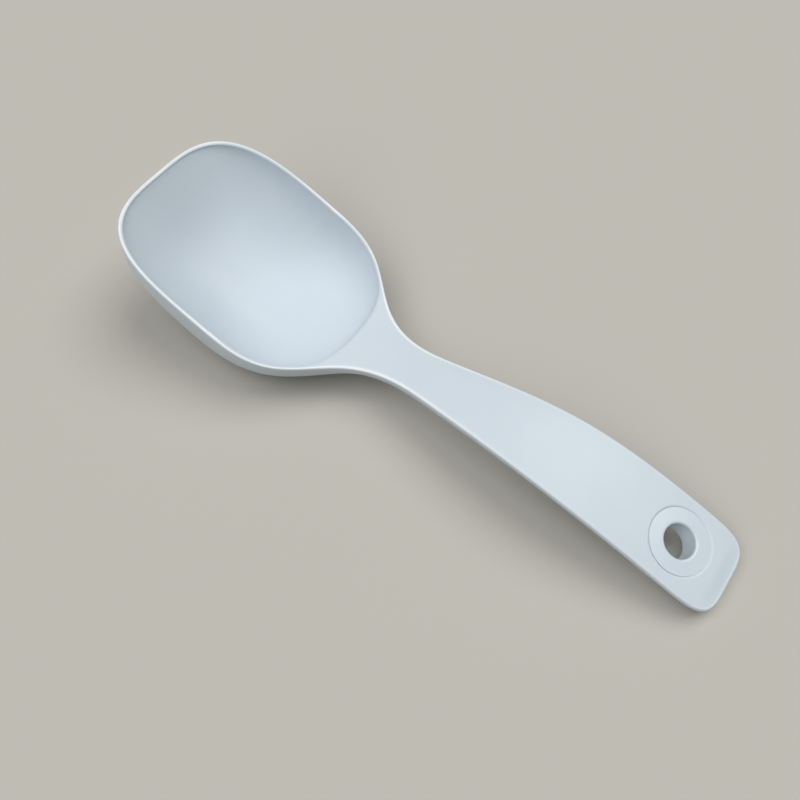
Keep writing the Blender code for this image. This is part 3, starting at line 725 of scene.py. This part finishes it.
def skin_grids(shape):
    """Near half of the skin: underside, edge and top; the bowl's hollow; the opening of the eye.

    Columns run from the tip along the outline to the end. Those of the bowl reach the hollow's
    lip, those of the handle the middle plane, and those of the end a circle round the eye.
    The masks of painted highlight that go with the grids, which also make the surface less rough,
    are 1 along the top of lip and edge. They run out as the squared sine down the roundings, as
    exp(-(distance / fade)^2) over the top, and along the handle.
    """
    s = shape.sizes
    eye, top_circle, under_circle = eye_opening(shape)
    outline, outward = near_outline(shape.half_width, *shape.ends)
    corners = (0, length_at(outline, shape.widest),
               length_at(outline, shape.crease + s.neck_reach / 2),
               length_at(outline, shape.eye - (shape.opening + s.rim_round)),
               lengths_along(outline)[-1])
    counts = (BOWL_COLUMNS // 2, BOWL_COLUMNS - BOWL_COLUMNS // 2, HANDLE_COLUMNS, EYE_COLUMNS)
    place, facing = outline_columns(outline, outward, corners, counts)
    lip_place, lip_facing = lip_columns(shape, counts[:2])
    flare = flare_rows(shape, lip_place, lip_facing)
    flared = seamed(flare[0, :, :2].copy())

    after_lip = np.linspace(flared[-1, 0], top_circle[0, 0], HANDLE_COLUMNS + 1)[1:-1]
    inner_top = np.vstack((flared, middle_line(after_lip), top_circle[:, :2]))
    apex = s.bowl_front / 3
    before_eye = BOWL_COLUMNS + HANDLE_COLUMNS
    spine = mix(apex, under_circle[0, 0], place[:before_eye, 0] / place[before_eye, 0])
    inner_under = np.vstack((middle_line(spine), under_circle[:, :2]))

    x = place[:, 0]
    radius = shape.edge_round(x)
    inside = seamed(place + facing * radius[:, None])
    crest = shape.upper(inside[:, 0], inside[:, 1])
    foot = shape.edge_height(x) - radius
    under = rows_between(place, inner_under, crowded(BELLY_ROWS, True)[:-1], shape.resting)
    edge = edge_rows(place, facing, radius, foot, crest)
    top_shares = np.linspace(0, 1, TOP_ROWS + 1)[1:]
    top = rows_between(inside, inner_top, top_shares, shape.upper)
    under[0, -EYE_COLUMNS - 1:, 2] = under_circle[:, 2]
    top[-1, -EYE_COLUMNS - 1:, 2] = top_circle[:, 2]
    body = np.concatenate((under, edge, top))

    floor_spine = mix(apex, shape.crease - apex / 2,
                      (lip_place[:, 0] - s.lip) / (shape.crease - s.lip))
    inner = rows_between(lip_place, middle_line(floor_spine), crowded(HOLLOW_ROWS)[1:],
                         shape.hollow)
    bowl = np.concatenate((flare, inner))

    # Painted highlight along the crest of lip and edges, which also makes the surface less rough
    # there
    width = np.hypot(*(inner_top - inside).T)
    top_highlight = np.exp(-(top_shares[:, None] * width[None] / s.highlight_fade) ** 2)
    edge_highlight = np.repeat(np.sin(EDGE_ANGLES)[:, None] ** 2, len(x), axis=1)
    body_highlight = np.vstack((np.zeros((len(under), len(x))), edge_highlight, top_highlight))
    grip_middle = (shape.grip_start + shape.end_start) / 2
    body_highlight *= 1 - HIGHLIGHT_LOSS * smooth(x, shape.neck, grip_middle)
    bowl_highlight = np.zeros(bowl.shape[:2])
    bowl_highlight[:len(flare)] = edge_highlight[::-1, :len(lip_place)] * top_highlight[-1, :len(lip_place)]
    return ([seamed(grid) for grid in (body, bowl, eye)],
            [body_highlight, bowl_highlight, np.zeros(eye.shape[:2])])


def core_grids(shape):
    """Near half of the core's plate and beam, closed round the eye inside the boss."""
    s = shape.sizes
    outline, outward = near_outline(shape.core_half, *shape.core_ends)
    # Radius halfway through the boss's wall, where the beam ends unseen
    inside_boss = (s.hole + s.under_ring) / 4 + s.clearance
    turn = np.linspace(np.pi, 2 * np.pi, EYE_COLUMNS + 1)
    above = shape.eye_circle(shape.core_upper, turn, inside_boss, -s.skin)
    below = shape.eye_circle(shape.core_lower, turn, inside_boss, s.skin - shape.eye_thickness)
    top_circle = shape.eye_point(turn, inside_boss, above)
    under_circle = shape.eye_point(turn, inside_boss, below)
    corners = (0, length_at(outline, shape.eye - inside_boss), lengths_along(outline)[-1])
    counts = (BOWL_COLUMNS, EYE_COLUMNS)
    place, facing = outline_columns(outline, outward, corners, counts)
    apex = s.bowl_front / 2
    run = place[:BOWL_COLUMNS, 0] - place[0, 0]
    run = run / (place[BOWL_COLUMNS, 0] - place[0, 0])
    inner_top = np.vstack((middle_line(mix(apex, top_circle[0, 0], run)), top_circle[:, :2]))
    inner_under = np.vstack((middle_line(mix(apex, under_circle[0, 0], run)),
                             under_circle[:, :2]))
    inside = seamed(place + facing * s.core_round)
    crest = shape.core_upper(inside[:, 0], inside[:, 1])
    low = shape.core_lower(inside[:, 0], inside[:, 1])
    shares = np.linspace(0, 1, TOP_ROWS + 1)
    under = rows_between(inside, inner_under, shares[::-1], shape.core_lower)
    rows = []
    for angle in np.linspace(0, np.pi, ROUND_STEPS + 1)[1:-1]:
        plan = inside - facing * s.core_round * math.sin(angle)
        height = np.where(angle < np.pi / 2, low, crest)
        rise = s.core_round * (1 - abs(math.cos(angle)))
        rows.append(np.column_stack((plan, height + (rise if angle < np.pi / 2 else -rise))))
    top = rows_between(inside, inner_top, shares, shape.core_upper)
    under[0, -EYE_COLUMNS - 1:, 2] = under_circle[:, 2]
    top[-1, -EYE_COLUMNS - 1:, 2] = top_circle[:, 2]
    wall = np.stack([mix(top_circle, under_circle, share) for share in (0.0, 0.5, 1.0)])
    body = np.concatenate((under, np.stack(rows), top))
    return [seamed(body), seamed(wall)]


def boss_profile(shape):
    """Radius and height of the boss about the eye's axis, a closed ring of points.

    Up the hole with both of its rims rounded, out over the upper face, which falls slightly to
    its outer edge, and back down the stepped outer side to the lower face, a flat cone.
    """
    s = shape.sizes
    top = -s.recess
    bottom = -(shape.eye_thickness - s.under_recess)
    # The boss reaches slightly into the skin, so that no gap shows round it
    outer = shape.opening + s.clearance / 4
    under = shape.under_opening + s.clearance / 4
    step = -shape.eye_thickness / 2
    middle = s.hole / 2 + s.hole_round
    rim = middle - s.hole_round * np.cos(ROUND_ANGLES)
    low = bottom + s.hole_round * (1 - np.sin(ROUND_ANGLES))
    high = top - s.hole_round * (1 - np.sin(ROUND_ANGLES))
    bore = np.linspace(low[0], high[0], BORE_STEPS + 1)[1:-1]
    face = np.linspace(rim[-1], outer, FACE_STEPS + 1)[1:]
    under_face = np.linspace(under, rim[-1], UNDER_FACE_STEPS + 1)[:-1]
    radius = np.concatenate((rim[::-1], np.full(len(bore), s.hole / 2), rim, face,
                             [outer, under, under], under_face[1:]))
    high = high + s.face_rise
    slope = top + s.face_rise * (outer - face) / (outer - rim[-1])
    cone = bottom + s.under_rise * (under_face - rim[-1]) / (under - rim[-1])
    height = np.concatenate((low[::-1], bore, high, slope, [step, step], cone))
    return radius, height


def boss_mesh(shape, name):
    """The boss's profile turned about the eye's axis. Its hole is the polished part."""
    radius, height = boss_profile(shape)
    polish_and_highlight = (radius < (shape.sizes.hole / 2 + shape.sizes.hole_round)).astype(float)
    turn = np.linspace(0, 2 * np.pi, BOSS_STEPS + 1)
    grid = shape.eye_point(turn[None, :], radius[:, None], height[:, None])
    grid = np.concatenate((grid, grid[:1]))
    polish_and_highlight = np.repeat(np.append(polish_and_highlight, polish_and_highlight[0]), len(turn))
    points = grid.reshape(-1, 3) - (shape.sizes.length / 2, 0, 0)
    return merged_mesh(name, points, sheet_faces(*grid.shape[:2])[:, ::-1], polish_and_highlight)


def linear(hex_code):
    """Linear colour of an sRGB hex code."""
    parts = np.array([int(hex_code[k:k + 2], 16) / 255 for k in (1, 3, 5)])
    return (*np.where(parts <= 0.04045, parts / 12.92, ((parts + 0.055) / 1.055) ** 2.4), 1.0)


def add_node(tree, kind, settings=None, inputs=None, links=None):
    """Adds a node: settings are its attributes, inputs its own values, links other sockets."""
    made = tree.nodes.new(kind)
    for name, value in (settings or {}).items():
        setattr(made, name, value)
    for name, value in (inputs or {}).items():
        made.inputs[name].default_value = value
    for name, socket in (links or {}).items():
        tree.links.new(socket, made.inputs[name])
    return made


def new_material(name):
    made = bpy.data.materials.new(name)
    made.use_nodes = True
    made.node_tree.nodes.clear()
    return made, made.node_tree


def matt_moulded_silicone(colours):
    """Silicone rubber moulded in a spark-textured steel mould.

    A soft, almost powdery white: little gloss, a painted pale highlight along rounded edges, light
    that goes a millimetre into thin lips, and a grain that only shows close up.
    """
    made, tree = new_material("matt_moulded_silicone")
    place = add_node(tree, "ShaderNodeTexCoord").outputs["Object"]
    # Slow change of tone over about 12 mm, from uneven packing of the mould
    patches = add_node(tree, "ShaderNodeTexNoise", inputs={"Scale": 85.0, "Detail": 2.0},
                       links={"Vector": place})
    tone = add_node(
        tree, "ShaderNodeMix", {"data_type": "RGBA"},
        inputs={COLOUR_A: linear(colours.skin_shade), COLOUR_B: linear(colours.skin)},
        links={SHARE: patches.outputs[0]})
    # Crest of the lip: a painted highlight, a thin bright line, also less rough where the mould's
    # parting edge left it smooth
    crest = add_node(tree, "ShaderNodeAttribute", {"attribute_name": "polish_and_highlight"}).outputs["Fac"]
    whole = add_node(
        tree, "ShaderNodeMix", {"data_type": "RGBA"}, inputs={COLOUR_B: linear(colours.crest)},
        links={SHARE: crest, COLOUR_A: tone.outputs[COLOUR]})
    # Spark texture of the mould: 0.03 mm in reality, drawn at 0.25 mm so that it shows
    grain = add_node(tree, "ShaderNodeTexNoise", inputs={"Scale": 4000.0, "Detail": 2.0},
                     links={"Vector": place})
    bump = add_node(tree, "ShaderNodeBump", inputs={"Strength": 0.10, "Distance": 0.00003},
                    links={"Height": grain.outputs[0]})
    # Rubbed and dusty places, over about 5 mm
    wear = add_node(tree, "ShaderNodeTexNoise", inputs={"Scale": 200.0, "Detail": 3.0},
                    links={"Vector": place})
    rough = add_node(tree, "ShaderNodeMapRange",
                     inputs={"From Min": 0.3, "From Max": 0.7, "To Min": 0.38, "To Max": 0.46},
                     links={"Value": wear.outputs[0]})
    polish_and_highlight = add_node(tree, "ShaderNodeMix", {"data_type": "FLOAT"}, inputs={NUMBER_B: 0.30},
                      links={SHARE: crest, NUMBER_A: rough.outputs[0]})
    shader = add_node(
        tree, "ShaderNodeBsdfPrincipled",
        inputs={"IOR": 1.41, "Subsurface Weight": 0.12, "Subsurface Radius": (0.9, 1.0, 1.1),
                "Subsurface Scale": 0.0008},
        links={"Base Color": whole.outputs[COLOUR], "Roughness": polish_and_highlight.outputs[NUMBER],
               "Normal": bump.outputs[0]})
    add_node(tree, "ShaderNodeOutputMaterial", links={"Surface": shader.outputs[0]})
    return made


def glossy_moulded_nylon(colours):
    """Nylon moulded against polished steel.

    Hard and smooth: narrow bright reflections in the bore, with faint flow marks round it.
    """
    made, tree = new_material("glossy_moulded_nylon")
    place = add_node(tree, "ShaderNodeTexCoord").outputs["Object"]
    # Flow marks about 4 mm apart, where the melt met round the hole
    flow = add_node(tree, "ShaderNodeTexNoise", inputs={"Scale": 260.0, "Detail": 2.0},
                    links={"Vector": place})
    tone = add_node(
        tree, "ShaderNodeMix", {"data_type": "RGBA"},
        inputs={COLOUR_A: linear(colours.nylon_shade), COLOUR_B: linear(colours.nylon)},
        links={SHARE: flow.outputs[0]})
    rough = add_node(tree, "ShaderNodeMapRange",
                     inputs={"From Min": 0.3, "From Max": 0.7, "To Min": 0.28, "To Max": 0.34},
                     links={"Value": flow.outputs[0]})
    # The hole is polished further: it mirrors the lamps as a soft glint
    hole = add_node(tree, "ShaderNodeAttribute", {"attribute_name": "polish_and_highlight"}).outputs["Fac"]
    polish_and_highlight = add_node(tree, "ShaderNodeMix", {"data_type": "FLOAT"}, inputs={NUMBER_B: 0.10},
                      links={SHARE: hole, NUMBER_A: rough.outputs[0]})
    # Tool marks of the turned mould core: 0.05 mm apart, drawn at 0.3 mm
    marks = add_node(tree, "ShaderNodeTexNoise", inputs={"Scale": 3300.0, "Detail": 1.0},
                     links={"Vector": place})
    bump = add_node(tree, "ShaderNodeBump", inputs={"Strength": 0.05, "Distance": 0.00002},
                    links={"Height": marks.outputs[0]})
    shader = add_node(
        tree, "ShaderNodeBsdfPrincipled", inputs={"IOR": 1.53},
        links={"Base Color": tone.outputs[COLOUR], "Roughness": polish_and_highlight.outputs[NUMBER],
               "Normal": bump.outputs[0]})
    add_node(tree, "ShaderNodeOutputMaterial", links={"Surface": shader.outputs[0]})
    return made


def plain_table(colours):
    """Painted board: pale and plain, with a faint change of tone over some 30 mm."""
    made, tree = new_material("painted_table")
    place = add_node(tree, "ShaderNodeTexCoord").outputs["Object"]
    cloud = add_node(tree, "ShaderNodeTexNoise", inputs={"Scale": 30.0, "Detail": 3.0},
                     links={"Vector": place})
    rough = add_node(tree, "ShaderNodeMapRange", inputs={"To Min": 0.7, "To Max": 0.8},
                     links={"Value": cloud.outputs[0]})
    shader = add_node(tree, "ShaderNodeBsdfPrincipled",
                      inputs={"Base Color": linear(colours.floor), "Specular IOR Level": 0.2},
                      links={"Roughness": rough.outputs[0]})
    add_node(tree, "ShaderNodeOutputMaterial", links={"Surface": shader.outputs[0]})
    return made


def add_piece(name, mesh, material):
    made = bpy.data.objects.new(name, mesh)
    bpy.context.scene.collection.objects.link(made)
    mesh.materials.append(material)
    return made


class SPOON_OT_soft_skin(bpy.types.Operator):
    """Makes the matt skin: bowl, neck, handle and the opening of the hanging eye"""
    bl_idname = "spoon.soft_skin"
    bl_label = "Soft skin"

    def execute(self, context):
        shape = SpoonShape(context.scene.spoon_sizes)
        mesh = mirrored_mesh("soft_skin", shape, *skin_grids(shape))
        mesh.set_sharp_from_angle(angle=math.radians(SKIN_EDGE))
        skin = add_piece("soft_skin", mesh, matt_moulded_silicone(context.scene.spoon_colours))
        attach(skin, "root")
        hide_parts("silicone_skin")
        return {"FINISHED"}


class SPOON_OT_nylon_core(bpy.types.Operator):
    """Makes the hard core: plate and beam inside the skin, and the boss at the hanging eye"""
    bl_idname = "spoon.nylon_core"
    bl_label = "Nylon core"

    def execute(self, context):
        shape = SpoonShape(context.scene.spoon_sizes)
        nylon = glossy_moulded_nylon(context.scene.spoon_colours)
        core = mirrored_mesh("nylon_core", shape, core_grids(shape))
        boss = boss_mesh(shape, "nylon_boss")
        body = bmesh.new()
        body.from_mesh(core)
        body.from_mesh(boss)
        body.to_mesh(core)
        body.free()
        bpy.data.meshes.remove(boss)
        core.set_sharp_from_angle(angle=math.radians(CORE_EDGE))
        made = add_piece("nylon_core", core, nylon)
        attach(made, "root")
        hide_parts("stiffening_core")
        return {"FINISHED"}


class SPOON_OT_stage(bpy.types.Operator):
    """Makes the table, the soft lamps, the light from all round and the camera"""
    bl_idname = "spoon.stage"
    bl_label = "Stage"

    def execute(self, context):
        scene = context.scene
        settings = scene.spoon_stage
        mesh = bpy.data.meshes.new("table")
        corners = [(x * TABLE_REACH, y * TABLE_REACH, -TABLE_DROP)
                   for x, y in ((-1, -1), (1, -1), (1, 1), (-1, 1))]
        mesh.from_pydata(corners, [], [(0, 1, 2, 3)])
        table = add_piece("table", mesh, plain_table(scene.spoon_colours))

        for name, tilt, turn, strength, width in LAMPS:
            lamp = bpy.data.lights.new(name, "SUN")
            lamp.energy = strength * settings.lamp_level
            lamp.angle = math.radians(width)
            hung = bpy.data.objects.new(name, lamp)
            hung.rotation_euler = (0, math.radians(tilt), math.radians(turn))
            scene.collection.objects.link(hung)

        world = bpy.data.worlds.new("studio")
        world.use_nodes = True
        tree = world.node_tree
        tree.nodes.clear()
        rays = add_node(tree, "ShaderNodeLightPath")
        seen = add_node(tree, "ShaderNodeBackground",
                        inputs={"Strength": 1.0, "Color": linear(scene.spoon_colours.backdrop)})
        light = add_node(tree, "ShaderNodeBackground",
                         inputs={"Strength": settings.world_strength})
        either = add_node(tree, "ShaderNodeMixShader",
                          links={0: rays.outputs["Is Camera Ray"], 1: light.outputs[0],
                                 2: seen.outputs[0]})
        add_node(tree, "ShaderNodeOutputWorld", links={"Surface": either.outputs[0]})
        scene.world = world

        camera = bpy.data.cameras.new("camera")
        camera.sensor_width = SENSOR
        camera.lens = settings.lens
        camera.clip_start = 0.01
        camera.clip_end = 100.0
        turn = settings.azimuth
        rise = settings.elevation
        back = Vector((math.sin(turn) * math.cos(rise), -math.cos(turn) * math.cos(rise),
                       math.sin(rise)))
        held = bpy.data.objects.new("camera", camera)
        held.location = Vector(settings.target) + back * settings.distance
        aimed = (-back).to_track_quat("-Z", "Y") @ Quaternion((0, 0, 1), settings.roll)
        held.rotation_euler = aimed.to_euler()
        scene.collection.objects.link(held)
        scene.camera = held
        scene.view_settings.view_transform = "Standard"
        return {"FINISHED"}


class SPOON_PT_panel(bpy.types.Panel):
    """Buttons that make the spoon and its stage"""
    bl_label = "Serving spoon"
    bl_idname = "SPOON_PT_panel"
    bl_space_type = "VIEW_3D"
    bl_region_type = "UI"
    bl_category = "Spoon"

    def draw(self, context):
        for operator in OPERATORS:
            self.layout.operator(operator.bl_idname)
        for group in (context.scene.spoon_sizes, context.scene.spoon_colours,
                      context.scene.spoon_stage):
            column = self.layout.column()
            for name in type(group).__annotations__:
                column.prop(group, name)


GROUPS = {"spoon_sizes": SpoonSizes, "spoon_colours": SpoonColours, "spoon_stage": StageSettings}
OPERATORS = (SPOON_OT_soft_skin, SPOON_OT_nylon_core, SPOON_OT_stage)


def register():
    for name, group in GROUPS.items():
        bpy.utils.register_class(group)
        setattr(bpy.types.Scene, name, bpy.props.PointerProperty(type=group))
    for made in (*OPERATORS, SPOON_PT_panel):
        bpy.utils.register_class(made)


def unregister():
    for made in (SPOON_PT_panel, *OPERATORS):
        bpy.utils.unregister_class(made)
    for name, group in GROUPS.items():
        delattr(bpy.types.Scene, name)
        bpy.utils.unregister_class(group)


def main():
    register()
    bpy.ops.spoon.soft_skin()
    bpy.ops.spoon.nylon_core()
    bpy.ops.spoon.stage()


if __name__ == "__main__":
    main()
